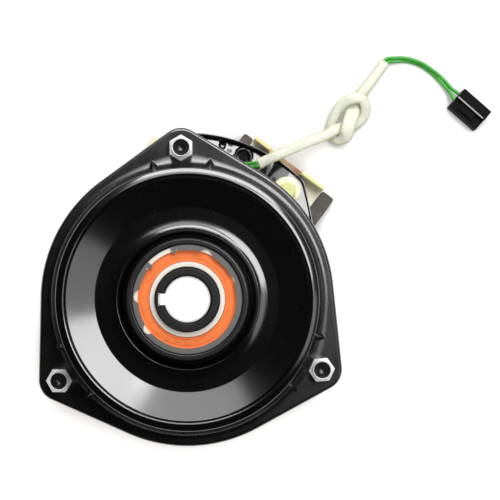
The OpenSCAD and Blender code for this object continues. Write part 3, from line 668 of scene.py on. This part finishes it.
class CLUTCH_OT_studio(bpy.types.Operator):
    """White floor, softboxes, dim studio world and the camera straight above"""

    bl_idname = "clutch.studio"
    bl_label = "Studio"

    # Direction and lean in degrees, width and depth in metres, share of the key's radiance, roll in degrees.
    softboxes = {
        "key": (36, 31, 0.52, 0.44, 1.0, -24),
        "low": (79, 51, 1.1, 0.34, 1.1, 0),
        "bounce": (90, 35, 0.66, 0.36, 0.34, 0),
        "side": (-12, 38, 0.4, 0.5, 0.18, 0),
    }
    distance = 1.1

    def softbox(self, name, azimuth, lean, width, depth, radiance, roll):
        """Area lamp aimed at the pulley, rolled about its own axis. Power = radiance times pi times area."""
        lamp = bpy.data.lights.new(name, "AREA")
        lamp.shape = "RECTANGLE"
        lamp.size = width
        lamp.size_y = depth
        lamp.energy = radiance * np.pi * width * depth
        holder = put(name, lamp)
        azimuth, lean = np.radians(azimuth), np.radians(lean)
        away = Vector((np.sin(lean) * np.cos(azimuth), np.sin(lean) * np.sin(azimuth), np.cos(lean)))
        holder.location = Vector((0, 0, 0.06)) + away * self.distance
        aim = away.to_track_quat("Z", "Y") @ Quaternion((0, 0, 1), np.radians(roll))
        holder.rotation_euler = aim.to_euler()

    def floor(self):
        """Level sheet under the back face, white to the camera and in reflections. It keeps the shadow of the
        lamps, and its glow carries a painted contact shadow where the object stands close over it and a
        painted pool of light up through the bore."""
        span = np.linspace(-2, 2, 9)
        x, y = np.meshgrid(span, span, indexing="ij")
        grid = np.stack([x, y, np.full_like(x, -0.0002)], axis=-1)
        mesh = bpy.data.meshes.new("floor")
        mesh.from_pydata(grid.reshape(-1, 3).tolist(), [], grid_faces(9, 9, False, False)[0].tolist())
        material = bpy.data.materials.new("floor")
        w = emptied(material)
        rays = w.add("ShaderNodeLightPath").outputs
        seen = w.maths("ADD", rays["Is Camera Ray"], w.times(rays["Is Glossy Ray"], 0.6), clamp=True)
        reach = w.reach(w.axes())
        # Painted contact shadow: the glow is dimmed by ambient occlusion where the object stands close over
        # the floor.
        open_sky = w.add("ShaderNodeAmbientOcclusion", {"Distance": 0.04}).outputs["AO"]
        # Painted pool of light: inside the bore the glow rises to 3 and the painted contact shadow is left
        # out.
        in_bore = w.spread(reach, 0.018, 0.019, 1.0, 0.0)
        painted_contact_shadow = w.maths("MAXIMUM", w.spread(open_sky, 0.5, 0.92, 0.2, 1.0), in_bore)
        strength = w.times(w.spread(reach, 0.018, 0.019, 3.0, 0.84), painted_contact_shadow)
        diffuse = w.add("ShaderNodeBsdfDiffuse", {"Color": (0.62, 0.62, 0.62, 1)}).outputs[0]
        glow = {"Color": (1, 0.975, 0.95, 1), "Strength": w.times(seen, strength)}
        glow = w.add("ShaderNodeEmission", glow).outputs[0]
        both = w.add("ShaderNodeAddShader", {0: diffuse, 1: glow}).outputs[0]
        w.add("ShaderNodeOutputMaterial", {"Surface": both})
        mesh.materials.append(material)
        put("floor", mesh)

    def world(self):
        """White to the camera. For reflections it is dark overhead, paler at the horizon and round the key,
        and for diffuse light it is brighter on the side away from the key."""
        world = bpy.data.worlds.new("studio")
        w = emptied(world)
        axes = w.axes(w.add("ShaderNodeTexCoord").outputs["Generated"])
        rays = w.add("ShaderNodeLightPath").outputs
        towards = w.plus(w.times(axes[0], 0.6), w.times(axes[1], 0.8))
        dim = w.plus(w.spread(axes[2], 0.05, 0.6, 0.06, 0.012), w.spread(towards, 0.06, 0.3, 0.0, 0.1))
        fill = w.times(rays["Is Diffuse Ray"], w.spread(towards, 0.0, -1.0, 0.26, 1.16))
        strength = w.maths("MAXIMUM", w.maths("MAXIMUM", dim, fill), rays["Is Camera Ray"])
        sky = w.add("ShaderNodeBackground", {"Color": (1, 1, 1, 1), "Strength": strength}).outputs[0]
        w.add("ShaderNodeOutputWorld", {"Surface": sky})
        bpy.context.scene.world = world

    def execute(self, context):
        settings = context.scene.clutch_studio
        self.floor()
        self.world()
        for name, (azimuth, lean, width, depth, share, roll) in self.softboxes.items():
            self.softbox(name, azimuth, lean, width, depth, settings.key * share, roll)
        camera = bpy.data.cameras.new("camera")
        camera.lens = settings.lens
        camera.shift_x = 0.1254
        camera.shift_y = 0.0988
        camera.clip_start = 0.01
        holder = put("camera", camera)
        holder.location = (0, 0, settings.camera_height)
        context.scene.camera = holder
        context.scene.view_settings.view_transform = "Standard"
        return {"FINISHED"}


class CLUTCH_OT_lead(bpy.types.Operator):
    """Woven sleeve with its overhand knot and ragged mouth, and the two wires through it to the connector"""

    bl_idname = "clutch.lead"
    bl_label = "Lead"

    # Steps between two points of the sleeve's route, and the sides of the sleeve and of a wire.
    steps = 22
    sides = 40
    wire_sides = 14

    def sleeve(self, radius):
        """Tube whose radius rises and falls with two families of strands: the higher of two cosine ridges."""
        route = smooth_route(SLEEVE_POINTS, self.steps)
        run = travelled(route)
        a = full_turn(self.sides)
        strands = 10
        pitch = run[:, None] / radius
        ridge = np.maximum(np.cos(strands * (a + pitch) / 2) ** 2, np.cos(strands * (a - pitch) / 2) ** 2)
        slack = 0.02 * np.sin(run / 5.3) + 0.015 * np.sin(run / 2.1 + 1)
        mouth = 0.12 * np.exp(-run / 2.5)
        width = radius * (0.955 + slack + mouth)[:, None] + 0.09 * (ridge - 0.7)
        wide = np.interp(np.arange(len(route)) / self.steps, np.arange(len(SLEEVE_WIDE)), SLEEVE_WIDE)
        return route, run, carry(route, width, len(a), wide, np.clip(2.05 - wide, 0.58, 1.05))

    def fray(self, radius):
        """Loose fibres at the mouth: each leaves the rim backwards and curls away from the centre."""
        route = smooth_route(SLEEVE_POINTS[:3], self.steps)
        along, side, up = directions(route)
        rng = np.random.default_rng(7)
        fibres = []
        t = np.linspace(0, 1, 7)[:, None]
        for turn in full_turn(26) + rng.uniform(-0.1, 0.1, 26):
            out = 1.34 * np.cos(turn) * side[0] + 0.7 * np.sin(turn) * up[0]
            length = rng.uniform(1.2, 3.4)
            spread = rng.uniform(0.1, 0.9)
            line = route[0] + 0.6 * along[0] + out * (radius * 0.95 + spread * t**2) - along[0] * length * t
            line = line + rng.uniform(-0.3, 0.3, 3) * t**2
            fibres.append((carry(line, 0.11 * (1 - 0.5 * t[:, 0]), 5), False, True))
        return fibres

    def wires(self, radius):
        """The two wires follow one route side by side, then roll by up to 55 degrees and part."""
        centre = np.array(NEAR_POINTS + SLEEVE_POINTS + FAR_POINTS, float)
        side, up = directions(centre)[1:]
        roll = np.zeros(len(centre))
        roll[-len(FAR_POINTS) :] = np.radians([25, 50, 55, 50, 25])
        apart = (np.cos(roll)[:, None] * side - np.sin(roll)[:, None] * up) * (radius + 0.06)
        turn = np.array([[np.cos(PLUG_TURN), -np.sin(PLUG_TURN)], [np.sin(PLUG_TURN), np.cos(PLUG_TURN)]])
        routes = []
        for sign, last in zip((-1, 1), PLUG_POINTS):
            last = np.array(last, float)
            ends = np.column_stack([last[:, :2] @ turn.T + PLUG, last[:, 2]])
            routes.append(smooth_route(np.vstack([centre + sign * apart, ends]), 8))
        return routes

    def execute(self, context):
        settings = context.scene.clutch_lead
        radius = settings.sleeve_diameter / 2 / MM
        wire = settings.wire_diameter / 2 / MM
        route, run, grid = self.sleeve(radius)
        scale = (run[-1] * MM / len(route), 1 / self.sides)
        tube = [(grid, False, True)]
        hides = ["lead_sleeve"]
        sleeve = make_piece("sleeve_braid", "field", "sleeve", tube, hides, uv_scale=scale, crease=80)
        fray = make_piece("sleeve_fray", "field", "sleeve", self.fray(radius), uv_scale=(0.0005, 0.2))
        for number, path in enumerate(self.wires(wire)):
            tube = [(carry(path, wire, self.wire_sides), False, True)]
            hides = ["lead_wires_near", "lead_wires_far"] if number == 0 else []
            scale = (0.0015, 1 / self.wire_sides)
            piece = make_piece(f"lead_wire_{number + 1}", "field", "wire_green", tube, hides, uv_scale=scale)
        return {"FINISHED"}


class CLUTCH_OT_pulley(bpy.types.Operator):
    """The two pressings of the belt pulley, with rolled lip, cone, valley and crest"""

    bl_idname = "clutch.pulley"
    bl_label = "Pulley"

    steps = 288

    def execute(self, context):
        face = WEB_Z + 2.6
        cone = CONE_TOP - GROOVE_FLOOR
        top = face + cone * GROOVE_RISE + 1.5
        outer = PULLEY_RIM
        hole = 37.5
        groove = [(hole, WEB_Z), (GROOVE_FLOOR, WEB_Z), (CONE_TOP - 0.2, WEB_Z + (cone - 0.2) * GROOVE_RISE)]
        lip = np.array([
            (-1, -3.8), (0, -3.2), (0, -1), (-0.3, -0.72), (-1.3, -0.25), (-2.3, 0.12), (-3.3, 0.38),
            (-3.8, 0.42), (-4.55, 0.12), (-5.4, -1.1),
        ]) + (outer, top)
        crest = np.array([
            (51.8, 0), (45.1, 0), (44.1, 0.13), (42.9, 0.35), (41.8, 0.64), (41, 0.92), (40.45, 1.18),
            (40.25, 1.5), (39.95, 1.6), (39.5, 1.6), (38.75, 1.3), (38, 0.6), (hole, -0.2),
        ]) + (0, face)
        front = np.vstack([groove, lip, [(CONE_TOP, top - 1.5)], crest])
        bend = [
            0.3, 1.5, 1.5, 0.6, 0.8, 0.12, 0.2, 0.5, 0.5, 0.3, 0.2, 0.2, 0.15, 0.15, 0.5, 0.3, 0.5, 0.5,
            0.5, 0.3, 0.1, 0.1, 0.1, 0.15, 0.2, 0.2, 0.3,
        ]
        grids = [closed_ring(front, bend, 6, self.steps)]
        make_piece("pulley_face", "pulley", "black_paint", grids, ["pulley_front"], crease=50)
        root = WEB_Z - 3.4
        low = root - (outer - 0.8 - GROOVE_FLOOR) * GROOVE_RISE * 0.92
        rear = [
            (33.8, 50), (40, 50), (40, WEB_Z - 2.6), (48.4, WEB_Z - 2.6), (49.4, WEB_Z - 3.6),
            (49.4, root - 2.3), (71.4, low - 2.2), (outer - 0.7, low - 2.4), (outer, low - 1.6),
            (outer, low - 0.5), (outer - 0.9, low), (GROOVE_FLOOR + 0.6, root - 0.5), (GROOVE_FLOOR, root),
            (GROOVE_FLOOR, WEB_Z - 0.02), (hole, WEB_Z - 0.02), (hole, 52.6), (33.8, 52.6),
        ]
        grids = [closed_ring(rear, 0.8, 5, self.steps)]
        make_piece("pulley_back", "pulley", "black_paint", grids, ["pulley_rear"], crease=50)
        return {"FINISHED"}


class CLUTCH_OT_brake(bpy.types.Operator):
    """Lobed brake plate: flange with a narrow facet along its edge, wall, raised ring, and the small darts
    that stiffen the bend beside each bolt"""

    bl_idname = "clutch.brake"
    bl_label = "Brake plate"

    def execute(self, context):
        a = full_turn(1440)
        tip = 12.5
        edge = lobed_outline(a, BRAKE_RADIUS, tip)[:, None]
        top = BRAKE_RING_Z + PLATE_THICKNESS
        low, flange = BRAKE_Z, BRAKE_Z + PLATE_THICKNESS
        away = off_bolt(a)[:, None]
        inside = [
            (75.4, low), (73.8, low + 0.8), (73.8, BRAKE_RING_Z - 1.2), (72.6, BRAKE_RING_Z),
            (61.5, BRAKE_RING_Z), (61, BRAKE_RING_Z + 0.5), (61, top - 0.5), (61.5, top), (72.6, top),
            (75.2, top - 0.05), (75.9, top - 0.7), (76.3, top - 2),
        ]
        r, z = (np.broadcast_to(values, (len(a), len(inside))) for values in np.array(inside).T)
        foot = 79.0
        dish = 2.5 + 3.7 * np.exp(-((away / np.radians(14)) ** 2))
        rise = 0.26 * dish
        wall_r = np.broadcast_to([76.9, 77.7, 78.3, 78.7, foot], (len(a), 5))
        wall_z = flange + rise + np.array([3, 1.6, 0.75, 0.25, 0])
        over_r = foot + (np.minimum(edge - 2, 86) - foot) * np.linspace(0, 1, 27)[1:]
        over_end = over_r[:, -1:]
        over_r = np.hstack([over_r, over_end + (edge - 1.92 - over_end) * np.linspace(0, 1, 7)[1:]])
        over_z = flange + rise * (1 - np.clip((over_r - foot) / dish, 0, 1)) ** 2
        facet = np.linspace(0, 1, 6)
        rounding = PLATE_THICKNESS - np.array([0.5, 0.1, 0])
        rim_r = edge - np.concatenate([1.85 - 0.65 * facet, [0.85, 0.5, 0.24, 0.08, 0, 0, 0.2, 0.6]])
        rim_z = flange - np.concatenate([0.23 * facet, [0.42, 0.75, 1.15, 1.6, 2.1], rounding])
        rim_z = np.broadcast_to(rim_z, rim_r.shape)
        slope_r = np.hstack([wall_r, over_r])
        slope_z = np.hstack([wall_z, over_z])
        dart = flange + (82.9 - slope_r) - 1.2 * np.abs(away - np.radians(11.9)) * slope_r
        dart = np.minimum(dart, top - 2)
        slope_z = (slope_z + dart + np.sqrt((slope_z - dart) ** 2 + 0.01)) / 2
        r = np.hstack([r, slope_r, rim_r])
        z = np.hstack([z, slope_z, rim_z])
        grids = [(about_axis(a, r, z), True, True)]
        make_piece("brake_pressing", "field", "black_paint", grids, ["brake_plate"], crease=40)
        return {"FINISHED"}


class CLUTCH_OT_field(bpy.types.Operator):
    """Field plate with its upturned rim, pressed humps and raised eyelet"""

    bl_idname = "clutch.field"
    bl_label = "Field plate"

    def lobe(self, a, turn):
        """Reach beside the bracket: the straight side's distance over a cosine, then the corner's circle,
        whose reach is c cos b + sqrt(r^2 - c^2 sin^2 b) for a centre c away, then the arc."""
        side = 83.5 / np.maximum(np.cos(a - np.radians(12.1)), 0.5)
        off = a - np.radians(47.3)
        corner = 90 * np.cos(off) + np.sqrt(np.maximum(10**2 - (90 * np.sin(off)) ** 2, 0))
        reach = np.where(turn < 43.95, side, np.where(turn < 47.3, corner, 100))
        return np.where((turn > 20.2) & (turn < 91.7), reach, 0)

    def floor_height(self, r, turn, x, y):
        """Top of the plate in direction (x, y): pressed up on both sides of the bracket and falling again to
        the rim, with a pit, a soft bump beside it and a level eyelet with a thin ring round its hole."""
        x, y = r * x, r * y
        far = soft_step(turn, 57, 62) * soft_step(turn, 88, 84)
        near = soft_step(turn, 31, 33) * soft_step(turn, 57, 50)
        z = PLATE_Z + PLATE_THICKNESS + (4.4 * far + 2.8 * near) * soft_step(r, 72, 82)
        z = z - 0.35 * far * np.maximum(r - 87, 0) - 0.16 * near * np.maximum(r - 88, 0)
        z = z - 2.4 * soft_step(np.hypot((x - 21.2) / 2.1, (y - 93.4) / 3), 1.1, 0.7)
        z = z + 0.45 * np.exp(-(((x - 25.6) / 2.2) ** 2 + ((y - 91.2) / 2.6) ** 2))
        ring = np.hypot(x - EYELET[0], y - EYELET[1])
        level = PLATE_Z + PLATE_THICKNESS + 2.4
        z = z + (level - z) * soft_step(ring, 6.2, 5.4)
        return z + 0.6 * np.exp(-(((ring - 4.7) / 0.6) ** 2)) - 2.0 * soft_step(ring, 3.9, 3.3)

    def execute(self, context):
        a = np.radians(np.concatenate([np.arange(18, 96, 0.2), np.arange(96, 378, 1.0)]))
        turn = np.degrees(a)
        tip = 11.0
        edge = np.maximum(lobed_outline(a, FIELD_RADIUS, tip), self.lobe(a, turn))
        rise = soft_step(turn, 30.1, 31.1) * (1 - soft_step(turn, 90.9, 91.9))
        floor = PLATE_Z + PLATE_THICKNESS
        rim, wall = 2.9, 1.3
        edge, height = edge[:, None], (floor + rim * rise)[:, None]
        outside = [0.7, 0.2, 0, 0, 0.08, 0.14, 0.2]
        inside = [wall - 0.2, wall - 0.14, wall, wall, wall + 0.1, wall + 0.25]
        rim_r = edge - np.array(outside + inside)
        inner_r = rim_r[:, -1:] + (FIELD_INSIDE - rim_r[:, -1:]) * np.linspace(0, 1, 110)[None, 1:]
        x, y = (values[:, None] for values in (np.cos(a), np.sin(a)))
        foot = self.floor_height(rim_r[:, -1:], turn[:, None], x, y)
        inner_z = self.floor_height(inner_r, turn[:, None], x, y)
        base = np.broadcast_to(PLATE_Z + np.array([0, 0.2, 0.8]), (len(a), 3))
        crown = height - np.array([0.25, 0.06, 0.02, 0, 0, 0.02, 0.2])
        bend = [np.minimum(height - 0.2, foot + 0.5), np.minimum(height - 0.1, foot + 0.1), foot]
        rim_z = np.hstack([base, crown, *bend])
        r = np.hstack([np.full_like(edge, FIELD_INSIDE), rim_r, inner_r])
        z = np.hstack([np.full_like(edge, PLATE_Z), rim_z, inner_z])
        grids = [(about_axis(a, r, z), True, True)]
        make_piece("field_pressing", "field", "black_paint", grids, ["field_plate"], crease=45)
        return {"FINISHED"}


class CLUTCH_OT_bearings(bpy.types.Operator):
    """Rings and moulded seals of the two ball bearings"""

    bl_idname = "clutch.bearings"
    bl_label = "Bearings"

    def seal(self, base, side):
        """Seal whose ribbed face looks up for a side of 1, or down for a side of -1."""
        profile = [
            (21.15, 0), (27.6, 0), (27.6, 0.9), (26.9, 0.9), (26.7, 0.72), (25.9, 0.7), (25.7, 0.86),
            (23.4, 0.86), (23.1, 0.66), (22.3, 0.66), (22.1, 0.9), (21.15, 0.9),
        ]
        r, z = (rounded(profile, 0.15, 3) * (1, side) + (0, base)).T
        return about_axis(full_turn(192), r, z), True, True

    def execute(self, context):
        inner = [(17.5, 0), (20.9, 0), (20.9, 14), (17.5, 14)]
        outer = [(27.6, 0), (31, 0), (31, 14), (27.6, 14)]
        far, close = 0.9, 0.25
        for name, body, base in (("pulley", "pulley", FRONT_BEARING_Z), ("field", "field", FIELD_BEARING_Z)):
            node = name + "_bearing_inner"
            ring = closed_ring(inner, [far, close, close, far], 6, base=base)
            make_piece(node + "_ring", "rotor", "bearing_steel", [ring], [node])
            node = name + "_bearing_outer"
            ring = closed_ring(outer, [close, far, far, close], 6, base=base)
            make_piece(node + "_ring", body, "bearing_steel", [ring], [node])
        front = self.seal(FRONT_BEARING_Z + 12, 1)
        make_piece("front_seal_face", "pulley", "seal_rubber", [front], ["front_seal"])
        rear = self.seal(FRONT_BEARING_Z + 2, -1)
        make_piece("rear_seal_face", "pulley", "seal_rubber", [rear], ["rear_seal"])
        pair = [self.seal(FIELD_BEARING_Z + 12, 1), self.seal(FIELD_BEARING_Z + 2, -1)]
        make_piece("field_seal_faces", "field", "seal_rubber", pair, ["field_seals"])
        return {"FINISHED"}


class CLUTCH_OT_fasteners(bpy.types.Operator):
    """Threaded air-gap bolts, their springs, washers, lock nuts and inserts, and the bracket's flange bolt"""

    bl_idname = "clutch.fasteners"
    bl_label = "Fasteners"

    def bolt(self, centre):
        """Shank whose radius drops by a triangle wave of height over pitch minus turn, fading in above the
        plain part, with a dish in its end: depth = (rim radius^2 - radius^2) / 6."""
        a = full_turn(48)
        end = NUT_Z + 6.6
        rim, pitch = 3.2, 1.25
        dish = np.arange(rim, -0.1, -0.4)
        hollow = end - (rim**2 - dish**2) / 6
        z = np.concatenate([[5.0, 5.0], np.arange(12, end - 0.8, 0.16), [end - 0.5, end], hollow])
        wave = np.abs((z[None] / pitch - a[:, None] / TAU) % 1 - 0.5) * 2
        depth = 0.62 * soft_step(z, 18, 20) * (1 - soft_step(z, end - 1.6, end - 0.8))
        r = 3.95 - depth * wave
        r[:, 0] = 0
        r[:, -len(dish) - 1] = 3.5
        r[:, -len(dish) :] = np.maximum(dish, 0)
        return about_axis(a, r, z, centre), True, False

    def spring(self, centre):
        """Wire along a helix whose pitch is close at both ends and even between them."""
        t = np.linspace(0, 1, 321)
        closed, wire, height = 0.14, 0.9, 24.4
        rise = 2.15 * wire
        low = np.minimum(t, closed) / closed
        high = np.maximum(t - 1 + closed, 0) / closed
        mid = np.clip((t - closed) / (1 - 2 * closed), 0, 1)
        a = t * 6.5 * TAU
        z = PLATE_Z + PLATE_THICKNESS + wire + rise * (low + high) + (height - 2 * wire - 2 * rise) * mid
        line = np.column_stack([centre[0] + 6.1 * np.cos(a), centre[1] + 6.1 * np.sin(a), z])
        return carry(line, wire, 12)

    def execute(self, context):
        centres = BOLT_CIRCLE * np.column_stack([np.cos(BOLT_TURNS), np.sin(BOLT_TURNS)])
        turns = np.radians([0, 30, 35])
        across_flats = 13
        collar = [(5.0, 6.2), (5.6, 6.2), (5.55, 7.3), (5.2, 8.1), (4.75, 7.9), (4.75, 6.2)]
        insert = [(3.9, 5.5), (4.8, 5.5), (4.8, 7.6), (4.3, 7.9), (3.9, 7.7)]
        washer = [(4.2, 35.4), (7.8, 35.4), (7.8, 37), (4.2, 37)]
        nuts, inserts, bolts, springs, washers = [], [], [], [], []
        for centre, turn, place in zip(centres, turns, BOLT_TURNS):
            nuts.append(hex_ring(centre, across_flats, 3.95, NUT_Z, NUT_Z + 6.4, turn))
            nuts.append(closed_ring(np.array(collar) + (0, NUT_Z), 0.3, 4, 64, centre))
            inserts.append(closed_ring(np.array(insert) + (0, NUT_Z), 0.25, 4, 64, centre))
            bolts.append(self.bolt(centre))
            bolts.append(hex_ring(centre, across_flats, 0.02, 0.3, 5.5, place))
            springs.append((self.spring(centre), False, True))
            washers.append(closed_ring(washer, 0.3, 3, 64, centre))
        make_piece("lock_nut_set", "field", "zinc_bright", nuts, ["lock_nuts"])
        make_piece("insert_set", "field", "nylon", inserts, ["nut_inserts"])
        make_piece("bolt_set", "field", "black_oxide", bolts, ["air_gap_bolts"])
        make_piece("spring_set", "field", "spring_steel", springs, ["air_gap_springs"], crease=60)
        make_piece("washer_set", "field", "zinc_bright", washers, ["spring_washers"])
        flange = [(2, 11), (8.3, 11), (8.7, 12.6), (8.7, 13.6), (7.4, 14.5), (6.2, 14.7), (2, 14.7)]
        collar = closed_ring(flange, 0.25, 4, 96, BRACKET_BOLT)
        parts = [collar, hex_ring(BRACKET_BOLT, 9.8, 0.02, 14.4, 18.6)]
        make_piece("flange_bolt", "field", "zinc_yellow", parts, ["bracket_bolt"])
        return {"FINISHED"}


class CLUTCH_OT_finishes(bpy.types.Operator):
    """Finish for every CAD node, and softened edges on the machined and moulded ones"""

    bl_idname = "clutch.finishes"
    bl_label = "Finishes"

    # Width of the softened edges in millimetres.
    softened = {
        "rotor_hub": 0.25, "bearing_housing": 0.25, "housing_circlip": 0.2, "torque_bracket": 0.35,
        "torque_fork": 0.4, "bracket_bolt": 0.25, "connector_housing": 0.5, "coil_shell": 0.3,
        "rotor_disc": 0.3, "armature_plate": 0.3, "connector_terminals": 0.15,
    }

    def execute(self, context):
        for part in frame["record"]["subparts"]:
            node = frame["nodes"][part["node"]]
            node.data.materials.clear()
            node.data.materials.append(finish_of(part["material_slot"]))
            weld = node.modifiers.new("joined", "WELD")
            weld.merge_threshold = 0.000002
            if part["node"] in self.softened:
                soft = node.modifiers.new("edges", "BEVEL")
                soft.width = self.softened[part["node"]] * MM
                soft.segments = 2
                soft.limit_method = "ANGLE"
                soft.angle_limit = np.radians(35)
        return {"FINISHED"}


class CLUTCH_PT_looks(bpy.types.Panel):
    """Lists the clutch's pieces and settings"""

    bl_idname = "CLUTCH_PT_looks"
    bl_label = "Clutch"
    bl_space_type = "VIEW_3D"
    bl_region_type = "UI"
    bl_category = "Clutch"

    def draw(self, context):
        for settings in (context.scene.clutch_lead, context.scene.clutch_finish, context.scene.clutch_studio):
            for name in settings.bl_rna.properties.keys():
                if name not in ("rna_type", "name"):
                    self.layout.prop(settings, name)
        for operator in OPERATORS:
            self.layout.operator(operator.bl_idname)


OPERATORS = (
    CLUTCH_OT_studio,
    CLUTCH_OT_lead,
    CLUTCH_OT_pulley,
    CLUTCH_OT_brake,
    CLUTCH_OT_field,
    CLUTCH_OT_bearings,
    CLUTCH_OT_fasteners,
    CLUTCH_OT_finishes,
)
CLASSES = (ClutchLead, ClutchFinish, ClutchStudio, *OPERATORS, CLUTCH_PT_looks)


def register():
    for cls in CLASSES:
        bpy.utils.register_class(cls)
    bpy.types.Scene.clutch_lead = PointerProperty(type=ClutchLead)
    bpy.types.Scene.clutch_finish = PointerProperty(type=ClutchFinish)
    bpy.types.Scene.clutch_studio = PointerProperty(type=ClutchStudio)


def unregister():
    del bpy.types.Scene.clutch_lead, bpy.types.Scene.clutch_finish, bpy.types.Scene.clutch_studio
    for cls in reversed(CLASSES):
        bpy.utils.unregister_class(cls)


def main():
    register()
    bpy.ops.clutch.studio()
    bpy.ops.clutch.lead()
    bpy.ops.clutch.pulley()
    bpy.ops.clutch.brake()
    bpy.ops.clutch.field()
    bpy.ops.clutch.bearings()
    bpy.ops.clutch.fasteners()
    bpy.ops.clutch.finishes()


if __name__ == "__main__":
    main()
